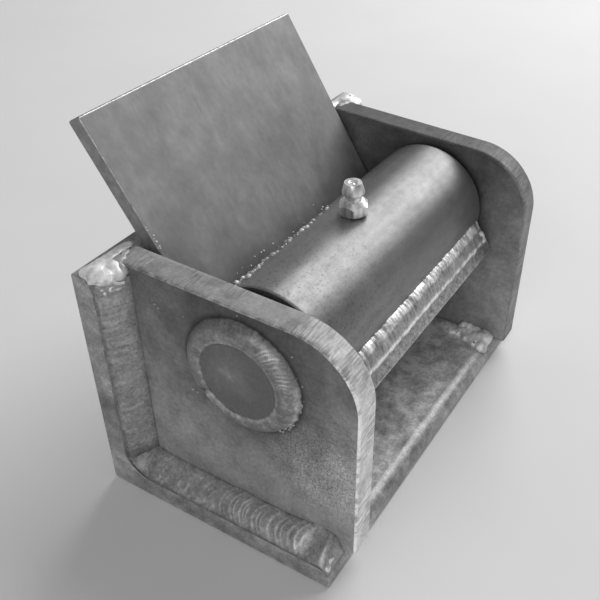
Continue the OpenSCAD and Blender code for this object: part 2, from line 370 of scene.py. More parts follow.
def lump(name, balls, wobble, body, finish, voxel=0.4, flow=10, seed=0.0):
    """Lump of weld metal: overlapping ellipsoids melted into one skin, with an uneven face."""
    mesh = bpy.data.meshes.new(name)
    made = bmesh.new()
    for centre, radii in balls:
        place = Matrix.Translation(Vector(centre) * MM) @ Matrix.Diagonal((*[r * MM for r in radii], 1))
        bmesh.ops.create_icosphere(made, subdivisions=3, radius=1.0, matrix=place)
    made.to_mesh(mesh)
    made.free()
    piece = bpy.data.objects.new(name, mesh)
    bpy.context.scene.collection.objects.link(piece)
    melt = piece.modifiers.new("Melt", "REMESH")
    melt.mode = "VOXEL"
    melt.voxel_size = voxel * MM
    smooth = piece.modifiers.new("Flow", "SMOOTH")
    smooth.factor = 0.6
    smooth.iterations = flow
    graph = bpy.context.evaluated_depsgraph_get()
    melted = bpy.data.meshes.new_from_object(piece.evaluated_get(graph))
    bpy.data.objects.remove(piece)
    verts = []
    for v in melted.vertices:
        p = v.co / MM
        swell = wobble * (wander(p.x / 3 + seed, p.y / 3, p.z / 3) + 0.4 * wander(p.x + seed, p.y, p.z))
        verts.append(p + v.normal * swell)
    faces = [tuple(f.vertices) for f in melted.polygons]
    bpy.data.meshes.remove(melted)
    return make_piece(name, verts, faces, body, "weld_metal", [finish], sharp=180)


# Finishes


class Recipe:
    """Node tree of one finish, written as a chain of calls."""

    def __init__(self, name):
        self.material = bpy.data.materials.new(name)
        self.material.use_nodes = True
        self.tree = self.material.node_tree
        self.place = self.node("TexCoord").outputs["Object"]

    def put(self, value, socket):
        """Sets a socket to a value or links it to another socket."""
        if isinstance(value, bpy.types.NodeSocket):
            self.tree.links.new(value, socket)
        else:
            socket.default_value = value

    def node(self, kind, **inputs):
        """New node, with its named inputs set."""
        node = self.tree.nodes.new("ShaderNode" + kind)
        for name, value in inputs.items():
            self.put(value, node.inputs[name])
        return node

    def cloud(self, size_mm, detail=4.0, rough=0.55, stretch=(1, 1, 1)):
        """Noise from 0 to 1 whose clouds are about size_mm across."""
        shift = self.node("Mapping", Vector=self.place, Scale=stretch)
        return self.node("TexNoise", Vector=shift.outputs["Vector"], Scale=1 / (size_mm * MM), Detail=detail,
                         Roughness=rough).outputs["Fac"]

    def mottle(self, size_mm, detail, rough, *stops, stretch=(1, 1, 1)):
        """Clouds mapped through grey stops."""
        return self.ramp(self.cloud(size_mm, detail, rough, stretch), stops)

    def pits(self, size_mm, share, level):
        """Small round pits: level inside a pit, 1 outside."""
        cells = self.node("TexVoronoi", Vector=self.place, Scale=1 / (size_mm * MM))
        return self.ramp(cells.outputs["Distance"], ((share * 0.6, level), (share, 1.0)))

    def ramp(self, value, stops):
        """Maps a value through grey stops (place, level)."""
        node = self.node("ValToRGB", Fac=value)
        ramp = node.color_ramp
        while len(ramp.elements) < len(stops):
            ramp.elements.new(0.5)
        for element, (at, level) in zip(ramp.elements, stops):
            element.position = at
            element.color = (level, level, level, 1)
        return node.outputs["Color"]

    def math(self, how, a, b=0.0):
        node = self.node("Math")
        node.operation = how
        self.put(a, node.inputs[0])
        self.put(b, node.inputs[1])
        return node.outputs[0]

    def times(self, *values):
        out = values[0]
        for value in values[1:]:
            out = self.math("MULTIPLY", out, value)
        return out

    def ragged(self, value, size_mm, amount, detail=4.0, rough=0.55):
        """Value raised unevenly, by clouds of up to amount."""
        return self.math("ADD", value, self.times(self.cloud(size_mm, detail, rough), amount))

    def only(self, where, level):
        """Level where the mask is 1, and 1 where it is 0."""
        return self.math("ADD", 1.0, self.times(where, self.math("SUBTRACT", level, 1.0)))

    def value(self, name):
        """Number that the mesh carries at each point."""
        node = self.node("Attribute")
        node.attribute_name = name
        return node.outputs["Fac"]

    def along(self, axis):
        """Place along X, Y or Z, in millimetres."""
        split = self.node("SeparateXYZ", Vector=self.place)
        return self.math("MULTIPLY", split.outputs[axis], 1 / MM)

    def from_middle(self):
        """Distance from the hinge's middle along the pin, in millimetres."""
        return self.math("ABSOLUTE", self.along("X"))

    def away_from(self, y, z):
        """Distance from a line along the pin, in millimetres."""
        dy = self.math("SUBTRACT", self.along("Y"), y)
        dz = self.math("SUBTRACT", self.along("Z"), z)
        return self.math("SQRT", self.math("ADD", self.times(dy, dy), self.times(dz, dz)))

    def between(self, value, low, high):
        """0 at low, 1 at high."""
        return self.node("MapRange", **{"Value": value, "From Min": low, "From Max": high}).outputs["Result"]

    def fade(self, value, low, high, *stops):
        """Value from low to high mapped through grey stops."""
        return self.ramp(self.between(value, low, high), stops)

    def relief(self, *heights):
        """Bump from pairs of (height, depth in millimetres)."""
        normal = None
        for height, depth in heights:
            bump = self.node("Bump", Strength=1.0, Distance=depth * MM, Height=height)
            if normal:
                self.put(normal, bump.inputs["Normal"])
            normal = bump.outputs["Normal"]
        return normal

    def finish(self, colour, levels, roughness, metallic, normal=None):
        """Colour times the levels that vary over the surface, with roughness, metal share and bump."""
        mix = self.node("Mix", Factor=1.0)
        mix.data_type = "RGBA"
        mix.blend_type = "MULTIPLY"
        # A mix node's colour sockets follow those for numbers and vectors
        self.put((*colour, 1), mix.inputs[6])
        self.put(self.times(*levels), mix.inputs[7])
        sockets = self.tree.nodes["Principled BSDF"].inputs
        self.put(mix.outputs[2], sockets["Base Color"])
        self.put(roughness, sockets["Roughness"])
        self.put(metallic, sockets["Metallic"])
        if normal:
            self.put(normal, sockets["Normal"])
        return self.material


def mill_scale(r, colour):
    """Rolled steel of the base: mottled scale, painted light on the flat leg's top between the ears, and a
    dark stain low on its left end.
    """
    patches = r.mottle(16, 5, 0.6, (0.3, 0.9), (0.5, 1.15), (0.7, 1.5))
    stains = r.mottle(4, 6, 0.7, (0.32, 0.66), (0.5, 1.0), (0.66, 1.32))
    grain = r.mottle(0.8, 3, 0.7, (0.3, 0.78), (0.5, 1.0), (0.7, 1.22))
    burn_z = 31.0
    burnt = r.ragged(r.math("ABSOLUTE", r.math("SUBTRACT", r.along("Z"), burn_z)), 5, 7.0)
    left = r.between(r.along("X"), -HALF + 0.6, -HALF + 0.3)
    burn = r.only(left, r.fade(burnt, 4.0, 10.0, (0.0, 0.58), (1.0, 1.0)))
    front, inside = BACK - LEG, BACK - WALL
    # Painted light: the flat leg's top between the ears, almost doubled in brightness.
    painted_light_on_shelf = r.times(
        r.between(r.along("Z"), WALL - 0.8, WALL - 0.1), r.between(r.along("Z"), WALL + 1.0, WALL + 0.2),
        r.between(r.along("Y"), front + 2, front + 7), r.between(r.along("Y"), inside, inside - 4),
        r.between(r.from_middle(), HALF - 0.5, HALF - 2))
    shelf = r.math("ADD", 1.0, r.times(painted_light_on_shelf, 0.95))
    rough = r.mottle(4, 4, 0.6, (0.3, 0.4), (0.7, 0.55))
    normal = r.relief((r.cloud(0.8, 3, 0.65), 0.07), (r.cloud(4, 3), 0.1))
    return r.finish(colour, (patches, stains, grain, burn, shelf), rough, 0.55, normal)


def flap_scale(r, colour):
    """Rolled steel of the flap: soft clouds of scale, with smears, a few dark scratches up the flap and
    painted shade towards the tube.
    """
    patches = r.mottle(15, 6, 0.65, (0.32, 0.78), (0.5, 0.95), (0.68, 1.1))
    smears = r.mottle(9, 5, 0.6, (0.32, 0.92), (0.5, 1.0), (0.66, 1.07), stretch=(1, 0.4, 0.4))
    spots = r.mottle(2.2, 4, 0.65, (0.3, 0.9), (0.5, 1.0), (0.72, 1.1), stretch=(1, 0.55, 0.55))
    scratch = r.mottle(5, 2, 0.5, (0.26, 0.8), (0.32, 1.0), stretch=(1, 0.1, 0.1))
    # Painted shade: the flap darkens towards the crease where it meets the tube.
    painted_crease_shade = r.fade(r.ragged(r.away_from(PIN_Y, PIN_Z), 14, 8.0), TUBE_R + 8, TUBE_R + 26,
                  (0.0, 0.55), (0.3, 0.85), (1.0, 1.0))
    rough = r.mottle(7, 4, 0.6, (0.3, 0.48), (0.7, 0.6))
    normal = r.relief((r.cloud(0.9, 3, 0.6), 0.02), (r.cloud(6, 3), 0.08))
    return r.finish(colour, (patches, smears, spots, scratch, painted_crease_shade), rough, 0.45, normal)


def sheared_end(r, colour):
    """Ends of the upper angle: dark, with faint marks across them."""
    marks = r.mottle(2, 4, 0.6, (0.3, 0.7), (0.7, 1.1))
    rough = r.mottle(3, 3, 0.55, (0.3, 0.45), (0.7, 0.6))
    return r.finish(colour, [marks], rough, 0.5, r.relief((r.cloud(1.0, 3, 0.6), 0.05)))


def worn_edge(r, colour):
    """Edges rubbed bright, in short dashes."""
    dashes = r.mottle(1.6, 3, 0.7, (0.36, 0.65), (0.5, 1.0), (0.66, 1.45))
    rough = r.mottle(1.0, 3, 0.55, (0.3, 0.25), (0.7, 0.45))
    return r.finish(colour, [dashes], rough, 0.8, r.relief((r.cloud(0.8, 3, 0.6), 0.03)))


def plate_face(r, colour):
    """Ear face: dark round the ring weld with a painted shadow along its edge, painted shade towards its top
    edge and on the inner faces, pale and grainy towards the front foot.
    """
    ring = r.away_from(PIN_Y, PIN_Z)
    heat = r.fade(r.ragged(ring, 9, 6.0), RING_R + 2, RING_R + 26,
                  (0.0, 0.42), (0.16, 0.66), (0.5, 0.95), (1.0, 1.18))
    # Painted shade: the ear face darkens towards its top edge and is lighter low down.
    high = r.fade(r.ragged(r.along("Z"), 12, 10.0), 40.0, EAR_TOP + 4, (0.0, 1.18), (0.5, 0.95), (1.0, 0.48))
    # Painted shadow: a thin dark line on the ear just outside the ring weld.
    painted_rim_shading = r.fade(ring, RING_R - 0.2, RING_R + 1.3, (0.0, 0.4), (1.0, 1.0))
    outside = r.between(r.from_middle(), EAR_OUT - 0.7, EAR_OUT - 0.5)
    foot = r.ragged(r.away_from(BACK - 68, 36), 7, 10.0)
    speck = r.mottle(0.65, 3, 0.75, (0.34, 0.45), (0.46, 0.98), (0.62, 1.55))
    grain = r.only(r.times(outside, r.between(foot, 28.0, 12.0)), speck)
    patches = r.mottle(9, 6, 0.65, (0.3, 0.7), (0.5, 1.0), (0.7, 1.3))
    # Painted shade: the inner faces, which face each other, are darker.
    inner = r.ramp(outside, ((0.0, 0.8), (1.0, 1.0)))
    fine = r.mottle(1.2, 4, 0.7, (0.3, 0.8), (0.7, 1.2))
    rough = r.mottle(6, 4, 0.55, (0.3, 0.42), (0.7, 0.56))
    normal = r.relief((r.cloud(0.75, 3, 0.75), 0.05), (r.cloud(9, 3), 0.08))
    return r.finish(colour, (heat, high, painted_rim_shading, grain, patches, inner, fine), rough, 0.45, normal)


def flame_cut(r, colour):
    """Edge cut by a torch: smooth and pale, with fine drag lines in places, painted light towards the front
    tip, a painted highlight along its outer rim, and darker towards the right ear.
    """
    across = (0.12, 1, 1)
    lines = r.mottle(0.6, 2, 0.5, (0.35, 0.66), (0.65, 1.2), stretch=across)
    drag = r.only(r.mottle(14, 2, 0.55, (0.44, 0.0), (0.58, 1.0)), lines)
    stains = r.mottle(6, 5, 0.65, (0.3, 0.68), (0.5, 1.0), (0.7, 1.2))
    fine = r.mottle(1.0, 3, 0.6, (0.3, 0.86), (0.7, 1.14))
    tip = BACK - EAR_FRONT
    # Painted light: the cut edge brightens towards the ear's front tip.
    front = r.fade(r.along("Y"), tip + 12, tip + 0.8, (0.0, 0.68), (1.0, 1.65))
    # Cut edges grow darker from the left ear to the right ear.
    darker_to_right = r.fade(r.along("X"), -EAR_OUT, EAR_OUT, (0.0, 1.08), (1.0, 0.35))
    # Painted highlight: a bright rim along the cut edge's outer corner.
    border = r.between(r.from_middle(), EAR_OUT - 0.9, EAR_OUT - 0.4)
    painted_rim_shading = r.only(border, r.mottle(3, 4, 0.7, (0.4, 1.0), (0.6, 1.7)))
    rough = r.mottle(2, 3, 0.55, (0.3, 0.5), (0.7, 0.62))
    normal = r.relief((r.cloud(0.6, 2, 0.5, across), 0.015))
    return r.finish(colour, (drag, stains, fine, front, darker_to_right, painted_rim_shading), rough, 0.5, normal)


def weld_metal(r, colour, dark_toe, valley, lip):
    """Weld metal: painted shade at its toes, painted highlights on the ripples' lips, with pits, and painted
    shade in the foot corner.
    """
    # Painted shade: the metal darkens along the toes, where the bead meets the plate; toe_noise makes the
    # line ragged.
    toe_noise = r.times(r.math("SUBTRACT", r.cloud(2.5), 0.5), 0.8)
    toe = r.ramp(r.math("ADD", r.value("toe"), toe_noise), ((0.0, dark_toe), (0.35, 0.95), (1.0, 1.0)))
    # Painted highlight: the ripples' lips and bright bands that the bead carries raise the metal's colour,
    # with random mottle.
    crest = r.ramp(r.value("crest"), ((0.0, valley), (1.0, lip)))
    stains = r.mottle(3.2, 6, 0.7, (0.3, 0.74), (0.5, 1.0), (0.7, 1.28))
    grain = r.mottle(0.8, 3, 0.65, (0.3, 0.8), (0.7, 1.2))
    # Painted shade: the weld darkens in the inner corner of the angle, where the welds meet.
    corner = r.ragged(r.away_from(BACK - WALL - 2.5, WALL + 2.5), 3, 4.0)
    painted_crease_shade = r.fade(corner, 4.0, 10.0, (0.0, 0.5), (1.0, 1.0))
    rough = r.mottle(1.6, 4, 0.55, (0.3, 0.34), (0.7, 0.5))
    normal = r.relief((r.cloud(0.6, 3, 0.6), 0.03), (r.cloud(2.2, 3), 0.08))
    return r.finish(colour, (toe, crest, stains, grain, r.pits(2.6, 0.1, 0.45), painted_crease_shade), rough, 0.6, normal)


def lump_metal(r, colour, level):
    """Weld metal that cooled as a lump: mottled, with a few pits."""
    pits = r.pits(4.0, 0.12, 0.2)
    stains = r.mottle(2.6, 5, 0.65, (0.3, 0.55), (0.5, 0.95), (0.68, 1.2))
    rough = r.mottle(1.5, 4, 0.55, (0.3, 0.3), (0.7, 0.5))
    normal = r.relief((r.cloud(0.7, 3, 0.6), 0.07), (r.cloud(1.8, 3, 0.6), 0.22), (pits, 0.2))
    return r.finish([level * c for c in colour], (pits, stains), rough, 0.2, normal)


def drawn_tube(r, colour):
    """Drawn tube: satin, with fine pits near its left end, faint bands along it and painted shade along the
    crease at the flap.
    """
    worn = r.fade(r.ragged(r.along("X"), 10, 30.0), -25.0, 25.0, (0.0, 1.0), (1.0, 0.3))
    pits = r.only(worn, r.mottle(0.8, 3, 0.75, (0.34, 0.62), (0.44, 0.98), (0.62, 1.12)))
    bands = r.mottle(4, 4, 0.6, (0.3, 0.84), (0.7, 1.12), stretch=(0.1, 1, 1))
    stains = r.mottle(12, 4, 0.55, (0.3, 0.86), (0.7, 1.1))
    # Painted shade: the tube darkens along the crease where the flap meets it.
    _, y, z = pin_point(0, TUBE_R, 0.5)
    painted_crease_shade = r.fade(r.ragged(r.away_from(y, z), 5, 3.0), 6.5, 11.5, (0.0, 0.45), (1.0, 1.0))
    rough = r.mottle(2.5, 4, 0.55, (0.3, 0.36), (0.7, 0.46))
    normal = r.relief((r.cloud(0.8, 3, 0.75), 0.025), (r.cloud(3, 3), 0.03))
    return r.finish(colour, (pits, bands, stains, painted_crease_shade), rough, 0.7, normal)


def sawn_bar(r, colour):
    """Sawn end of the pin: dark and matt, with a pale cloud in the middle."""
    pale = r.ragged(r.away_from(PIN_Y + 2.5, PIN_Z + 1), 4, 16.0, 6, 0.65)
    middle = r.fade(pale, 6, 17, (0.0, 1.8), (0.45, 1.05), (1.0, 0.8))
    grain = r.mottle(0.9, 3, 0.6, (0.3, 0.9), (0.7, 1.1))
    return r.finish(colour, (middle, grain), 0.55, 0.5, r.relief((r.cloud(0.9, 3, 0.6), 0.03)))


def zinc_plate(r, colour):
    """Bright zinc on the nipple, with turning marks."""
    marks = r.mottle(1.6, 2, 0.5, (0.36, 0.6), (0.5, 0.95), (0.64, 1.1), stretch=(1, 1, 0.1))
    rough = r.mottle(2.0, 2, 0.55, (0.3, 0.28), (0.7, 0.34))
    return r.finish(colour, [marks], rough, 0.85, r.relief((r.cloud(0.5, 2), 0.01)))


def floor_paper(r, colour):
    """Pale floor with faint clouds."""
    return r.finish(colour, [r.mottle(60, 3, 0.55, (0.3, 0.97), (0.7, 1.0))], 0.8, 0.0)


# Each finish by its recipe, its colour and what else the recipe takes:
# the painted shade at a weld's toes, the level of its valleys and the painted highlight on its lips, or the
# level of a lump
FINISHES = {
    "mill_scale": (mill_scale, "mill_colour"),
    "flap_scale": (flap_scale, "mill_colour"),
    "sheared_end": (sheared_end, "plate_colour"),
    "worn_edge": (worn_edge, "cut_colour"),
    "plate_face": (plate_face, "plate_colour"),
    "flame_cut": (flame_cut, "cut_colour"),
    "bare_weld": (weld_metal, "weld_colour", 0.55, 1.0, 1.85),
    "ring_weld": (weld_metal, "weld_colour", 0.4, 0.62, 1.6),
    # bright_bead: strong painted highlights on its ripples' lips.
    "bright_bead": (weld_metal, "weld_colour", 0.8, 0.85, 2.8),
    # The near-white lump colour at level 1 is a painted reflection of the lamps; dull_lump is the same finish
    # at half that level.
    "bright_lump": (lump_metal, "lump_colour", 1.0),
    "dull_lump": (lump_metal, "lump_colour", 0.5),
    "drawn_tube": (drawn_tube, "tube_colour"),
    "sawn_bar": (sawn_bar, "bar_colour"),
    "zinc_plate": (zinc_plate, "zinc_colour"),
}


def finish_named(name):
    """Finish of that name, made the first time it is asked for."""
    known = bpy.data.materials.get(name)
    if known:
        return known
    recipe, colour, *levels = FINISHES[name]
    return recipe(Recipe(name), getattr(bpy.context.scene.hinge_finishes, colour), *levels)


# Pieces


def shelf_height(p):
    """Height of the base angle's upper skin at p forward of the back face."""
    if p < WALL + ROOT_R:
        return WALL + ROOT_R - sqrt(max(0.0, ROOT_R ** 2 - (WALL + ROOT_R - max(p, WALL)) ** 2))
    if p > LEG - TOE_R:
        return WALL - TOE_R + sqrt(max(0.0, TOE_R ** 2 - min(TOE_R, p - LEG + TOE_R) ** 2))
    return WALL


class HINGE_OT_base_angle(Operator):
    """Builds the base angle with its rolled corners and sawn ends"""

    bl_idname = "hinge.base_angle"
    bl_label = "Base Angle"

    def execute(self, context):
        outline = rounded_outline([
            (0, 0, 1.2), (LEG, 0, 0.7), (LEG, WALL, TOE_R),
            (WALL, WALL, ROOT_R), (WALL, LEG, TOE_R), (0, LEG, 0.7)])
        rings = bar_rings(outline, HALF, 0.3, heel_point)
        make_piece("base_angle_skin", *skin(rings), "base", "mill_steel", ["mill_scale"], ["base_angle"])
        return {"FINISHED"}


class HINGE_OT_ears(Operator):
    """Builds both ears with flame-cut edges and a bore for the pin"""

    bl_idname = "hinge.ears"
    bl_label = "Ears"

    def execute(self, context):
        sizes = context.scene.hinge_sizes
        snip = ROOT_R + 1
        outline = resample(rounded_outline([
            (WALL + snip, WALL, 0), (EAR_FRONT, WALL, 0.8), (EAR_FRONT, EAR_TOP, EAR_CORNER),
            (WALL, EAR_TOP, 0.8), (WALL, WALL + snip, 0)]), 0.45)
        self.ear("left", -EAR_OUT, outline, sizes, 3.0)
        self.ear("right", EAR_IN, outline, sizes, 11.0)
        return {"FINISHED"}

    def ear(self, word, low, outline, sizes, seed):
        """Plate from low along the pin, its cut edge scored by the torch."""
        thick = EAR_OUT - EAR_IN
        r = sizes.edge_round
        across = [(0, r), (0.3 * r, 0.3 * r), (r, 0)]
        across += [(r + (thick - 2 * r) * k / 8, 0) for k in range(1, 8)]
        across += [(thick - r, 0), (thick - 0.3 * r, 0.3 * r), (thick, r)]
        run = np.cumsum([0] + [(outline[i] - outline[i - 1]).length for i in range(1, len(outline))])
        made = bmesh.new()
        rings = []
        for x, depth in across:
            cut = [depth + sizes.drag_depth * (0.5 + 0.35 * wander(s * 1.1 + 0.5 * x, seed, x * 0.05)
                                               * ease(-0.1, 0.4, wander(s * 0.05, seed + 2))
                                               + 0.5 * wander(s * 0.12, seed + 5)) for s in run]
            rings.append([made.verts.new(Vector(heel_point(low + x, p.x, p.y)) * MM)
                          for p in inset_outline(outline, cut)])
        n = len(outline)
        for a, b in zip(rings, rings[1:]):
            for k in range(n):
                made.faces.new((a[k], a[(k + 1) % n], b[(k + 1) % n], b[k])).material_index = 1
        bore = []
        for x in (low, low + thick):
            bore.append([made.verts.new(Vector(pin_point(x, PIN_R + 0.1, 2 * pi * k / BORE_STEPS)) * MM)
                         for k in range(BORE_STEPS)])
        for k in range(BORE_STEPS):
            m = (k + 1) % BORE_STEPS
            made.faces.new((bore[0][k], bore[0][m], bore[1][m], bore[1][k]))
        for ring, hole in ((rings[0], bore[0]), (rings[-1], bore[1])):
            edges = [made.edges.get((loop[k], loop[(k + 1) % len(loop)])) for loop in (ring, hole)
                     for k in range(len(loop))]
            filled = bmesh.ops.triangle_fill(made, edges=edges, use_beauty=True, use_dissolve=False)
            if not filled["geom"]:
                raise RuntimeError(f"a face of the {word} ear didn't fill")
        bmesh.ops.recalc_face_normals(made, faces=made.faces)
        name = f"{word}_ear_skin"
        mesh = bpy.data.meshes.new(name)
        made.to_mesh(mesh)
        made.free()
        show_mesh(name, mesh, "base", "cut_plate", ["plate_face", "flame_cut"], [f"{word}_ear"], 50)


class HINGE_OT_pin(Operator):
    """Builds the pin with its chamfered, slightly dished ends"""

    bl_idname = "hinge.pin"
    bl_label = "Pin"

    def execute(self, context):
        half = [(PIN_R - 0.05, 0), (PIN_R - 0.05, PIN_END - 1.4), (PIN_R - 1.4, PIN_END - 0.1)]
        half += [(r, PIN_END - 0.35 + 0.25 * (r / PIN_R) ** 2) for r in np.linspace(PIN_R - 1.6, 0.02, 9)]
        profile = [(r, -h) for r, h in reversed(half[1:])] + half
        verts, faces = turned(profile, TURN_STEPS, lambda r, h, a: pin_point(h, r, a))
        make_piece("hinge_pin_skin", verts, faces, "base", "dark_bar", ["sawn_bar"], ["hinge_pin"])
        return {"FINISHED"}


def bead(name, stations, section, body, nodes, edges, finish, bulge=2.6, shape=2.6, show=lambda t: 1.0,
         glow=lambda t: 0.0):
    """Weld bead swept along its stations.

    section gives a station's toes, crown, ripple height, lumps, hidden points and placing. From one toe (0)
    to the other (1), show says how far the ripples stand out and glow how much painted light brightens the
    metal without them.
    """
    rings, toe, crest = [], [], []
    for s in stations:
        low, high, crown, height, lumpy, hidden, place = section(s)
        chord = Vector(high) - Vector(low)
        out = Vector((-chord.y, chord.x)).normalized()
        ring = []
        for k in range(BEAD_STEPS + 1):
            t = k / BEAD_STEPS
            rise, lip = ripple(edges, s, 2 * t - 1, bulge)
            fade = abs(sin(pi * t)) ** 0.5
            rough = wander(s * 0.4, t * 2.6, low[0]) + 0.6 * wander(s * 1.1, t * 6, low[0])
            swell = height * show(t) * (0.7 + 0.6 * wander(s * 0.35, 3.0))
            lift = crown * (1 - abs(2 * t - 1) ** shape) + fade * (swell * (rise - 0.3) + lumpy * rough)
            ring.append(place(low[0] + chord.x * t + out.x * lift, low[1] + chord.y * t + out.y * lift))
            toe.append(min(1.0, 5 * min(t, 1 - t)))
            # Painted light: the band light, the ripples' lips and the lumps brighten the metal, with random
            # mottle.
            lit = glow(t) * (0.8 + 0.7 * rough) + 5 * swell * lip * fade + 1.3 * lumpy * rough
            crest.append(clamp(lit))
        for a, b in hidden:
            ring.append(place(a, b))
            toe.append(0.0)
            crest.append(0.0)
        rings.append(ring)
    make_piece(name, *skin(rings), body, "weld_metal", [finish], nodes, sharp=60,
               values={"toe": toe, "crest": crest})


class HINGE_OT_ear_welds(Operator):
    """Builds the fillet welds at the ears, with their lumps and tack"""

    bl_idname = "hinge.ear_welds"
    bl_label = "Ear Welds"

    def execute(self, context):
        sizes = context.scene.hinge_sizes
        for word, side, seed in (("left", -1, 4), ("right", 1, 9)):
            self.back_weld(word, side, seed, sizes)
            self.foot_weld(word, side, seed, sizes)
            self.wrap(word, side, seed)
        places = ((2.6, 57.4, -0.3, 1.9, 2.4, 1.2), (3.2, 60.6, -0.2, 2.4, 2.4, 1.4),
                  (2.6, 63.6, 0.0, 2.6, 2.6, 1.6), (3.6, 66.8, 0.0, 3.6, 2.8, 1.9),
                  (3.8, 70.0, 0.0, 4.4, 3.0, 2.4), (6.0, 73.2, -0.4, 3.0, 2.4, 2.3),
                  (2.4, 72.4, 0.5, 3.2, 3.0, 2.7), (0.6, 66.0, 1.0, 1.6, 4.6, 2.0))
        balls = [(heel_point(EAR_IN - inward, p, WALL + up), radii) for inward, p, up, *radii in places]
        tack = lump("right_tack_lump", balls, 0.7, "base", "bright_lump", flow=4, seed=21.0)
        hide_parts("right_ear_tack")
        return {"FINISHED"}

    def wrap(self, word, side, seed):
        """Puddle that runs from the upright weld over the leg's top, with a lip along its lower edge."""
        def at(out, p, up, *radii):
            return heel_point(side * (EAR_OUT + out), p, LEG + up), radii

        puddle = [at(4.1, 6.4, -0.7, 4.0, 3.9, 2.0), at(1.5, 8.0, -1.2, 2.7, 3.2, 2.6),
                  at(5.9, 5.6, -0.7, 1.9, 2.6, 1.5), at(0.8, 7.2, 0.1, 2.4, 2.6, 1.9),
                  at(7.7, 5.6, -1.2, 0.7, 1.1, 1.6), at(3.6, 4.8, -0.2, 4.6, 3.4, 1.9)]
        puddle += [at(5.8 - 2.3 * k, 3.3 - 0.06 * k, 0.1 - 0.05 * k, 2.6, 2.2 - 0.08 * k, 1.0 - 0.05 * k)
                   for k in range(7)]
        lump(f"{word}_wrap_lump", puddle, 0.14, "base", "bright_lump", voxel=0.3, flow=16, seed=seed)
        toe = [at(-1.4, 7.4, 0.5, 2.7, 2.3, 1.7), at(-3.8, 6.9, 0.7, 2.6, 1.7, 1.35),
               at(0.2, 9.2, -0.2, 1.3, 2.2, 1.9)]
        lump(f"{word}_wrap_toe", toe, 0.1, "base", "dull_lump", voxel=0.3, flow=8, seed=seed)
        lip = [at(4.9 - 0.47 * k, 9.9 + 0.2 * k, -1.1 - 0.3 * k + 0.06 * (k - 3) ** 2, 0.55, 0.5, 0.4)
               for k in range(7)]
        lip += [at(4.7 + 0.6 * cos(a), 9.4, -3.4 + 0.6 * sin(a), 0.36, 0.55, 0.36)
                for a in np.linspace(0, 2 * pi, 10)]
        lip += [at(6.4, 8.2, -3.0, 0.9, 0.5, 0.5), at(6.2, 8.4, -4.2, 0.5, 0.5, 0.8),
                at(2.8, 10.3, -3.9, 1.4, 0.5, 0.4)]
        lump(f"{word}_wrap_lip", lip, 0.03, "base", "bright_lump", voxel=0.2, flow=3, seed=seed)

    def back_weld(self, word, side, seed, sizes):
        edges = ripple_phase(LEG, 2.4 * sizes.ripple_pitch, seed)

        def section(q):
            on_ear = BACK_LEG + 0.25 * wander(q * 0.16, seed) + 0.12 * wander(q * 0.7, seed)
            at_end = 0.7 + 0.35 * wander(q * 0.22, seed + 3) + 0.3 * wander(q * 0.8, seed + 3)
            hidden = [(SHELF - 0.3, -0.8), (-0.5, -0.8), (-0.5, on_ear - 0.6)]
            lumpy = 0.09 + 0.2 * (1 - ease(12, 22, q))

            def place(a, b):
                return heel_point(side * (EAR_OUT + a), WALL + b, q)

            height = 0.12 * sizes.ripple_height
            return (-0.08, on_ear), (SHELF - 0.25, at_end), 0.55, height, lumpy, hidden, place

        stations = np.arange(WALL - 0.5, LEG - 1.2, 0.35)
        bead(f"{word}_back_bead", stations, section, "base", [f"{word}_back_weld"], edges, "bare_weld",
             shape=3.2)

    def foot_weld(self, word, side, seed, sizes):
        edges = ripple_phase(LEG, 0.85 * sizes.ripple_pitch, seed + 1)
        end = LEG - 0.8

        def section(p):
            taper = round_off(p, end, 4.0, 0.02)
            on_ear = (FOOT_LEG + 0.5 * wander(p * 0.13, seed) + 0.15 * wander(p * 0.6, seed)
                      + 1.4 * ease(58, 68, p) + 1.4 * (1 - ease(WALL + 2, WALL + 14, p))) * taper
            at_end = (0.65 + 0.35 * wander(p * 0.2, seed + 3)) * taper
            low = shelf_height(p)
            hidden = [(SHELF - 0.3, -1.2), (-0.5, -1.2), (-0.5, on_ear * 0.6)]
            crown = (0.75 + 0.5 * ease(36, 44, p)) * taper - 1.5 * bell(p, end - 7.5, 3.2)
            lively = ease(33, 41, p) * (1 - ease(end - 11, end - 9, p))
            lumpy = 0.07 + 0.2 * ease(12, 20, p) * (1 - ease(30, 40, p))

            def place(a, b):
                return heel_point(side * (EAR_OUT + a), p, low + b)

            height = 1.1 * lively * sizes.ripple_height
            return (-0.08, on_ear), (SHELF - 0.1, at_end), crown, height, lumpy, hidden, place

        stations = np.arange(WALL - 0.5, end, 0.22)
        bead(f"{word}_foot_bead", stations, section, "base", [f"{word}_foot_weld"], edges, "bare_weld",
             bulge=3.0)
        places = ((6.0, 4.2, 0.3, 1.5, 1.6, 1.1), (4.6, 2.6, 0.3, 2.0, 1.4, 1.3),
                  (6.6, 2.4, -0.8, 1.3, 1.6, 1.4), (6.9, 6.4, -0.2, 1.0, 1.2, 0.8))
        balls = [(heel_point(side * (EAR_OUT + out), LEG - inward, WALL + up), radii)
                 for out, inward, up, *radii in places]
        lump(f"{word}_foot_end", balls, 0.7, "base", "bright_lump", voxel=0.25, flow=3, seed=seed + 0.5)


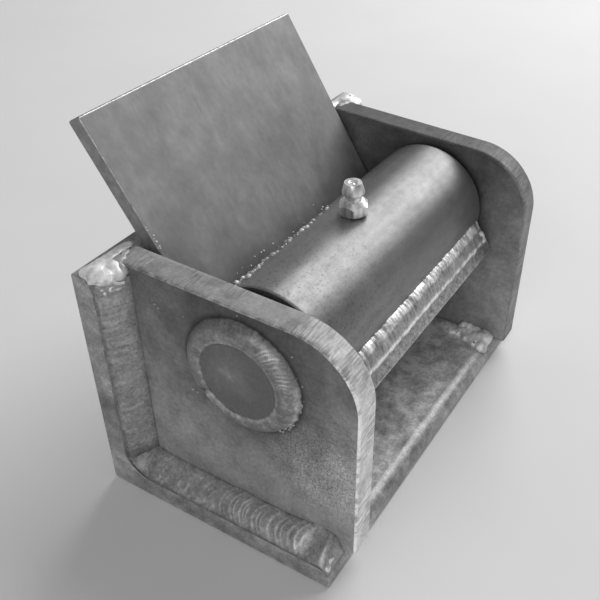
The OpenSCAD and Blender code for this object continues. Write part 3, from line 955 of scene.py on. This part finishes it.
class HINGE_OT_pin_welds(Operator):
    """Builds the ring welds that lock the pin in the ears"""

    bl_idname = "hinge.pin_welds"
    bl_label = "Pin Welds"

    def execute(self, context):
        sizes = context.scene.hinge_sizes
        for word, side, seed in (("left", -1, 6), ("right", 1, 17)):
            self.ring(word, side, seed, sizes)
        return {"FINISHED"}

    def ring(self, word, side, seed, sizes):
        """Bead round the pin: it starts at a notch low at the back and ends there as a narrower crescent."""
        round_run = 2 * pi * (PIN_R + 2)
        edges = ripple_phase(round_run, 0.52 * sizes.ripple_pitch, seed)
        stand = PIN_END - EAR_OUT
        foot, top = -0.1, stand - 0.25
        notch = 233
        rings, toe, crest = [], [], []
        for i in range(RING_STATIONS):
            turn = 2 * pi * i / RING_STATIONS
            deg = math.degrees(turn)
            c, sn = cos(turn), sin(turn)

            def place(r, h):
                return (side * (EAR_OUT + h), PIN_Y - r * sn, PIN_Z + r * c)

            tail = ease(140, notch - 2, deg) * (1 - ease(notch - 2, notch + 2, deg))
            gap = bell(deg, notch, 4.0)
            ragged = ease(60, 100, deg) * (1 - ease(150, 165, deg))
            outer = RING_R - 0.1 - 0.5 * tail - 0.7 * gap + 0.2 * wander(2.2 * c, 2.2 * sn, seed)
            outer += (0.1 + 0.4 * ragged) * wander(9 * c, 9 * sn, seed)
            inner = PIN_R - PIN_LAP + 0.12 * wander(3 * c, 3 * sn, seed + 4) + 0.5 * tail + 0.5 * gap
            lively = ease(12, 35, deg) * (1 - ease(62, 92, deg)) * (0.75 + 0.6 * wander(6 * c, 6 * sn, 2.0))
            lively += 0.08
            crown = 1.75 - 0.35 * tail - 0.9 * gap
            chord = Vector((inner - outer, top - foot))
            out = Vector((chord.y, -chord.x)).normalized()
            ring = []
            for k in range(BEAD_STEPS + 1):
                t = k / BEAD_STEPS
                rise, lip = ripple(edges, round_run * i / RING_STATIONS + 1.5 * (2 * t - 1), 2 * t - 1, 1.0)
                fade = abs(sin(pi * t)) ** 0.5
                rough = wander(7 * c, 7 * sn, t * 4 + seed)
                rough += 0.6 * wander(16 * c, 16 * sn, t * 9 + seed)
                outward = 0.1 + 1.1 * bell(t, 0.42, 0.24)
                lift = crown * 4 * t * (1 - t)
                lift += fade * (0.8 * sizes.ripple_height * lively * outward * (rise - 0.3) + 0.1 * rough)
                ring.append(place(outer + chord.x * t + out.x * lift, foot + chord.y * t + out.y * lift))
                toe.append(min(1.0, 5 * min(t, 1 - t)))
                # Painted highlights: thin bright lines at both toes, on the ripples' lips and along the tail,
                # with random mottle.
                painted_rim_shading = 0.8 * ragged * bell(t, 0.12, 0.1) + 0.35 * bell(t, 0.9, 0.06)
                bright = 0.9 * lively * lip * outward + 0.4 * tail * (1 - gap) + painted_rim_shading
                crest.append(clamp(bright + 0.35 * rough))
            for r, h in ((PIN_R - 2.4, stand - 1.2), (PIN_R + 1.5, -0.6)):
                ring.append(place(r, h))
                toe.append(0.0)
                crest.append(0.0)
            rings.append(ring)
        make_piece(f"{word}_ring_bead", *skin(rings, closed_run=True), "base", "weld_metal", ["ring_weld"],
                   [f"{word}_pin_weld"], sharp=60, values={"toe": toe, "crest": crest})


class HINGE_OT_upper_angle(Operator):
    """Builds the upper angle: the flap and the short leg under the tube"""

    bl_idname = "hinge.upper_angle"
    bl_label = "Upper Angle"

    def execute(self, context):
        outline = rounded_outline([
            (-UPPER_BACK, -UPPER_BACK, 1.6), (FLAP_REACH, -UPPER_BACK, 0.7), (FLAP_REACH, -TUBE_R, 0.7),
            (-TUBE_R, -TUBE_R, ROOT_R), (-TUBE_R, SHORT_REACH, 0.7), (-UPPER_BACK, SHORT_REACH, 0.7)])
        rings = bar_rings(outline, TUBE_HALF, 0.4, swing_point)
        axis = Vector(swing_point(0, 0, 0))
        along_flap = Vector(swing_point(0, 1, 0)) - axis
        along_short = Vector(swing_point(0, 0, 1)) - axis

        def finish_of(face):
            """Sheared ends, worn edges and rolled faces, by where a face looks."""
            end = abs(face.normal.x)
            tip = face.normal.dot(along_flap) > 0.35 and face.center.z > 0.1
            toe = face.normal.dot(along_short) > 0.35 and face.center.y < (PIN_Y - TUBE_R) * MM
            if end > 0.95:
                return 1
            return 2 if end > 0.2 or tip or toe else 0

        make_piece("upper_angle_skin", *skin(rings), "upper", "mill_steel",
                   ["flap_scale", "sheared_end", "worn_edge"], ["upper_angle"], finish_of=finish_of)
        return {"FINISHED"}


class HINGE_OT_tube(Operator):
    """Builds the pivot tube with its faced ends"""

    bl_idname = "hinge.tube"
    bl_label = "Pivot Tube"

    def execute(self, context):
        end, bore = TUBE_HALF, PIN_R + 0.05
        profile = [(TUBE_R - 0.7, -end), (TUBE_R - 0.2, 0.2 - end), (TUBE_R, 0.7 - end)]
        profile += [(TUBE_R, x) for x in np.linspace(1.2 - end, end - 1.2, 12)]
        profile += [(TUBE_R, end - 0.7), (TUBE_R - 0.2, end - 0.2), (TUBE_R - 0.7, end)]
        profile += [(bore + 0.5, end), (bore, end - 0.5), (bore, 0.5 - end), (bore + 0.5, -end)]
        verts, faces = turned(profile, TUBE_STEPS, lambda r, h, a: pin_point(TUBE_MID + h, r, a))
        make_piece("pivot_tube_skin", verts, faces, "upper", "tube_steel", ["drawn_tube"], ["pivot_tube"])
        return {"FINISHED"}


class HINGE_OT_tube_weld(Operator):
    """Builds the rippled weld between the tube and the short leg"""

    bl_idname = "hinge.tube_weld"
    bl_label = "Tube Weld"

    def execute(self, context):
        sizes = context.scene.hinge_sizes
        end = TUBE_HALF - 2
        edges = ripple_phase(2 * end + 8, 0.42 * sizes.ripple_pitch, 31)

        def section(x):
            turn = radians(52 + 1.6 * wander(x * 0.22, 7.0) + 1.6 * wander(x * 0.9, 7.0))
            shrink = round_off(abs(x), end, 2.5, 0.03)
            lap = (1.1 + 0.35 * wander(x * 0.3, 9.0)) * shrink
            low = (-TUBE_R - lap, SHORT_REACH - 0.1)
            high = (-TUBE_R * cos(turn), TUBE_R * sin(turn) - 0.1)
            hidden = [(-TUBE_R * cos(turn) + 0.6, TUBE_R * sin(turn) - 1.6),
                      (-TUBE_R * 0.95, TUBE_R * 0.31), (-TUBE_R - 0.6, SHORT_REACH - 2.5)]
            lumpy = 0.12 + 0.35 * ease(end - 7, end - 1, x)

            def place(u, v):
                return swing_point(x, u, v)

            return low, high, 1.15 * shrink, 0.9 * sizes.ripple_height * shrink, lumpy, hidden, place

        stations = np.arange(-end, end + 0.01, 0.22)
        # Painted light: a bright band up the bead's tube side and a thin bright line near its low toe.
        bead("tube_bead", stations, section, "upper", ["tube_weld"], edges, "bright_bead", bulge=2.0,
             shape=2.8, show=lambda t: 0.08 + 0.92 * ease(0.6, 0.74, t),
             glow=lambda t: 0.65 * ease(0.62, 0.74, t) + bell(t, 0.16, 0.08))
        lump("tube_bead_end", [
            (swing_point(end - 1.0, -TUBE_R + 0.4, SHORT_REACH + 0.7), (1.3, 0.9, 0.9)),
            (swing_point(end - 2.0, -TUBE_R + 3.2, SHORT_REACH + 1.5), (1.0, 0.9, 0.9)),
            (swing_point(end - 0.4, -TUBE_R + 2.0, SHORT_REACH + 0.5), (1.0, 0.9, 0.8)),
        ], 0.25, "upper", "bright_lump", voxel=0.2, flow=5, seed=5.0)
        return {"FINISHED"}


class HINGE_OT_nipple(Operator):
    """Builds the grease nipple: shank, hexagon, turned head, ball and mouth"""

    bl_idname = "hinge.nipple"
    bl_label = "Grease Nipple"

    def execute(self, context):
        turn = LEAN + NIPPLE_TURN
        up = Vector((0, cos(turn), sin(turn)))
        side = Vector((1, 0, 0))
        third = up.cross(side)
        seat = Vector((NIPPLE_X, PIN_Y, PIN_Z)) + up * TUBE_R
        angles = [2 * pi * k / TURN_STEPS for k in range(TURN_STEPS)]

        def place(r, h, a):
            return seat + up * h + side * (r * cos(a)) + third * (r * sin(a))

        def circle(r, h):
            return [place(r, h, a) for a in angles]

        hex_low, hex_h = 0.25, 0.45 * NIPPLE_H
        shoulder = NIPPLE_HEX / 2 - 0.95
        flats = [NIPPLE_HEX / 2 / cos((a + pi / 6) % (pi / 3) - pi / 6) for a in angles]
        rings = [circle(2.9, -4.5), circle(2.9, hex_low - 0.05)]
        rings.append([place(min(flat, NIPPLE_HEX / 2 + 0.1), hex_low, a) for flat, a in zip(flats, angles)])
        rings.append([place(flat, hex_low + 0.25, a) for flat, a in zip(flats, angles)])
        rings.append([place(flat, hex_h - flat + shoulder, a) for flat, a in zip(flats, angles)])
        rings.append(circle(shoulder, hex_h))
        head = [(2.95, hex_h + 0.02), (2.5, hex_h + 0.12), (2.4, 0.58 * NIPPLE_H), (2.5, 0.61 * NIPPLE_H),
                (3.1, 0.64 * NIPPLE_H), (NIPPLE_HEAD, 0.67 * NIPPLE_H), (NIPPLE_HEAD, 0.7 * NIPPLE_H),
                (2.92, 0.84 * NIPPLE_H), (2.52, 0.99 * NIPPLE_H), (2.46, NIPPLE_H), (1.3, NIPPLE_H),
                (1.05, NIPPLE_H - 0.2), (0.95, NIPPLE_H - 0.7), (1.35, NIPPLE_H - 0.75),
                (1.35, NIPPLE_H - 3.5)]
        rings += [circle(r, h) for r, h in head]
        make_piece("nipple_skin", *skin(rings), "upper", "zinc_steel", ["zinc_plate"], ["nipple_body"],
                   sharp=28)
        for node in ("nipple_ball", "nipple_spring"):
            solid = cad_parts[node]
            solid.data.materials.clear()
            solid.data.materials.append(finish_named("zinc_plate"))
        return {"FINISHED"}


class HINGE_OT_spatter(Operator):
    """Scatters the weld spatter that sticks along the flap, the tube and the ears"""

    bl_idname = "hinge.spatter"
    bl_label = "Spatter"

    def execute(self, context):
        rng = random.Random(12)
        self.crevice(rng)
        self.flap(rng)
        self.ear(rng)
        return {"FINISHED"}

    def crevice(self, rng):
        """Clusters of grains on the tube, where the flap's face meets it."""
        clusters = ((-43, 12), (-40.5, 10), (-38, 8), (-35, 7), (-31, 6), (-28.5, 4), (-24, 5), (-20.5, 5),
                    (-16, 5), (-13.5, 7), (-9, 3), (-3.5, 4), (-1, 3))
        bright, dull = [], []
        for middle, count in clusters:
            for _ in range(count):
                x = middle + rng.gauss(0, 0.9)
                turn = radians(55 + 3 * wander(x * 0.2, 5.0) + rng.gauss(0, 2.2))
                size = rng.choice((0.22, 0.28, 0.35, 0.5, 0.7))
                grains = bright if rng.random() < 0.25 else dull
                radii = [size * rng.uniform(0.75, 1.25) for _ in range(3)]
                grains.append((pin_point(TUBE_MID + x, TUBE_R, turn), radii))
        for word, grains in (("bright", bright), ("dull", dull)):
            lump(f"crevice_{word}_spatter", grains, 0.12, "upper", f"{word}_lump", voxel=0.14, flow=1,
                 seed=3.0)

    def flap(self, rng):
        """Grains along the flap's left edge and across its foot."""
        places = []
        for _ in range(24):
            x = -TUBE_HALF + rng.uniform(0.0, 1.1)
            u = rng.triangular(26, 42, 36)
            places.append((swing_point(x, u, -TUBE_R), rng.uniform(0.1, 0.24)))
        for _ in range(30):
            x = rng.uniform(-28, 20)
            u = 13.2 + abs(rng.gauss(0, 1.6))
            places.append((swing_point(x, u, -TUBE_R), rng.uniform(0.12, 0.3)))
        self.grains("flap_spatter", places, "upper", "bright_lump", rng)

    def ear(self, rng):
        """Grains on the left ear: over its foot, round its ring weld and a few single ones."""
        places = []
        for _ in range(14):
            y = BACK - rng.uniform(24, 62)
            z = WALL + rng.uniform(5, 17)
            places.append(((-EAR_OUT, y, z), rng.uniform(0.1, 0.2)))
        for _ in range(7):
            a = rng.uniform(0, 2 * pi)
            r = RING_R + abs(rng.gauss(0, 2.5))
            places.append((pin_point(-EAR_OUT, r, a), rng.uniform(0.1, 0.3)))
        for _ in range(26):
            a = radians(rng.uniform(88, 145)) + pi / 2
            r = RING_R - 0.1 + rng.gauss(0, 0.25)
            places.append((pin_point(-EAR_OUT, r, a), rng.uniform(0.18, 0.42)))
        for p, q, r in ((18.6, 68.7, 0.4), (19.6, 67.8, 0.3), (17.9, 69.6, 0.25), (27.8, 43.6, 0.4),
                        (29.4, 43.2, 0.3)):
            places.append((heel_point(-EAR_OUT, p, q), r))
        self.grains("ear_spatter", places, "base", "dull_lump", rng)

    def grains(self, name, places, body, finish, rng):
        made = bmesh.new()
        for where, r in places:
            wide = r * rng.uniform(0.8, 1.3) * MM
            deep = r * rng.uniform(0.8, 1.3) * MM
            stretch = Matrix.Diagonal((wide, deep, r * 0.8 * MM, 1))
            bmesh.ops.create_icosphere(made, subdivisions=2, radius=1.0,
                                       matrix=Matrix.Translation(Vector(where) * MM) @ stretch)
        verts = [v.co / MM for v in made.verts]
        faces = [tuple(v.index for v in f.verts) for f in made.faces]
        made.free()
        make_piece(name, verts, faces, body, "weld_metal", [finish], sharp=180)


class HINGE_OT_stage(Operator):
    """Sets the floor, the lamps, the world and the camera"""

    bl_idname = "hinge.stage"
    bl_label = "Stage"

    def execute(self, context):
        scene = context.scene
        stage = scene.hinge_stage
        floor = bpy.data.meshes.new("floor")
        corners = [(x * FLOOR_HALF, y * FLOOR_HALF, FLOOR_Z) for x, y in ((-1, -1), (1, -1), (1, 1), (-1, 1))]
        floor.from_pydata(corners, [], [(0, 1, 2, 3)])
        floor.materials.append(floor_paper(Recipe("floor_paper"), stage.floor_colour))
        ground = bpy.data.objects.new("floor", floor)
        scene.collection.objects.link(ground)
        for name, where, size, power in LAMPS:
            self.lamp(scene, name, Vector(where), size, power)
        world = bpy.data.worlds.new("studio")
        world.use_nodes = True
        sky = world.node_tree.nodes["Background"].inputs
        sky["Color"].default_value = (SKY_GREY, SKY_GREY, SKY_GREY, 1)
        sky["Strength"].default_value = SKY_STRENGTH
        scene.world = world
        scene.view_settings.view_transform = "Standard"
        self.camera(scene, stage)
        return {"FINISHED"}

    def lamp(self, scene, name, where, size, power):
        light = bpy.data.lights.new(name, "AREA")
        light.shape = "DISK"
        light.size = size
        light.energy = power
        lamp = bpy.data.objects.new(name, light)
        lamp.location = where
        lamp.rotation_mode = "QUATERNION"
        lamp.rotation_quaternion = (LAMP_AIM - where).to_track_quat("-Z", "Y")
        scene.collection.objects.link(lamp)

    def camera(self, scene, stage):
        data = bpy.data.cameras.new("camera")
        data.sensor_width = SENSOR_MM
        data.lens = stage.lens
        data.shift_x, data.shift_y = EYE_SHIFT
        data.clip_start = 0.01
        data.clip_end = 20
        camera = bpy.data.objects.new("camera", data)
        turn = Matrix((EYE_RIGHT, -EYE_DOWN, EYE_RIGHT.cross(-EYE_DOWN))).transposed()
        camera.matrix_world = Matrix.Translation(Vector(stage.eye)) @ turn.to_4x4()
        scene.collection.objects.link(camera)
        scene.camera = camera


class HINGE_PT_build(Panel):
    """Lists the hinge's sizes, finishes and pieces"""

    bl_idname = "HINGE_PT_build"
    bl_label = "Dump Trailer Hinge"
    bl_space_type = "VIEW_3D"
    bl_region_type = "UI"
    bl_category = "Hinge"

    def draw(self, context):
        scene = context.scene
        for group in (scene.hinge_sizes, scene.hinge_finishes, scene.hinge_stage):
            box = self.layout.box()
            for name in group.__annotations__:
                box.prop(group, name)
        for operator in OPERATORS:
            self.layout.operator(operator.bl_idname)


GROUPS = (HingeSurfaceSizes, HingeFinishes, HingeStage)
OPERATORS = (HINGE_OT_base_angle, HINGE_OT_ears, HINGE_OT_pin, HINGE_OT_ear_welds, HINGE_OT_pin_welds,
             HINGE_OT_upper_angle, HINGE_OT_tube, HINGE_OT_tube_weld, HINGE_OT_nipple, HINGE_OT_spatter,
             HINGE_OT_stage)


def register():
    for kind in (*GROUPS, *OPERATORS, HINGE_PT_build):
        bpy.utils.register_class(kind)
    bpy.types.Scene.hinge_sizes = PointerProperty(type=HingeSurfaceSizes)
    bpy.types.Scene.hinge_finishes = PointerProperty(type=HingeFinishes)
    bpy.types.Scene.hinge_stage = PointerProperty(type=HingeStage)


def unregister():
    del bpy.types.Scene.hinge_stage
    del bpy.types.Scene.hinge_finishes
    del bpy.types.Scene.hinge_sizes
    for kind in reversed((*GROUPS, *OPERATORS, HINGE_PT_build)):
        bpy.utils.unregister_class(kind)


def main():
    """Builds the whole hinge."""
    register()
    bpy.ops.hinge.base_angle()
    bpy.ops.hinge.ears()
    bpy.ops.hinge.pin()
    bpy.ops.hinge.ear_welds()
    bpy.ops.hinge.pin_welds()
    bpy.ops.hinge.upper_angle()
    bpy.ops.hinge.tube()
    bpy.ops.hinge.tube_weld()
    bpy.ops.hinge.nipple()
    bpy.ops.hinge.spatter()
    bpy.ops.hinge.stage()


if __name__ == "__main__":
    main()
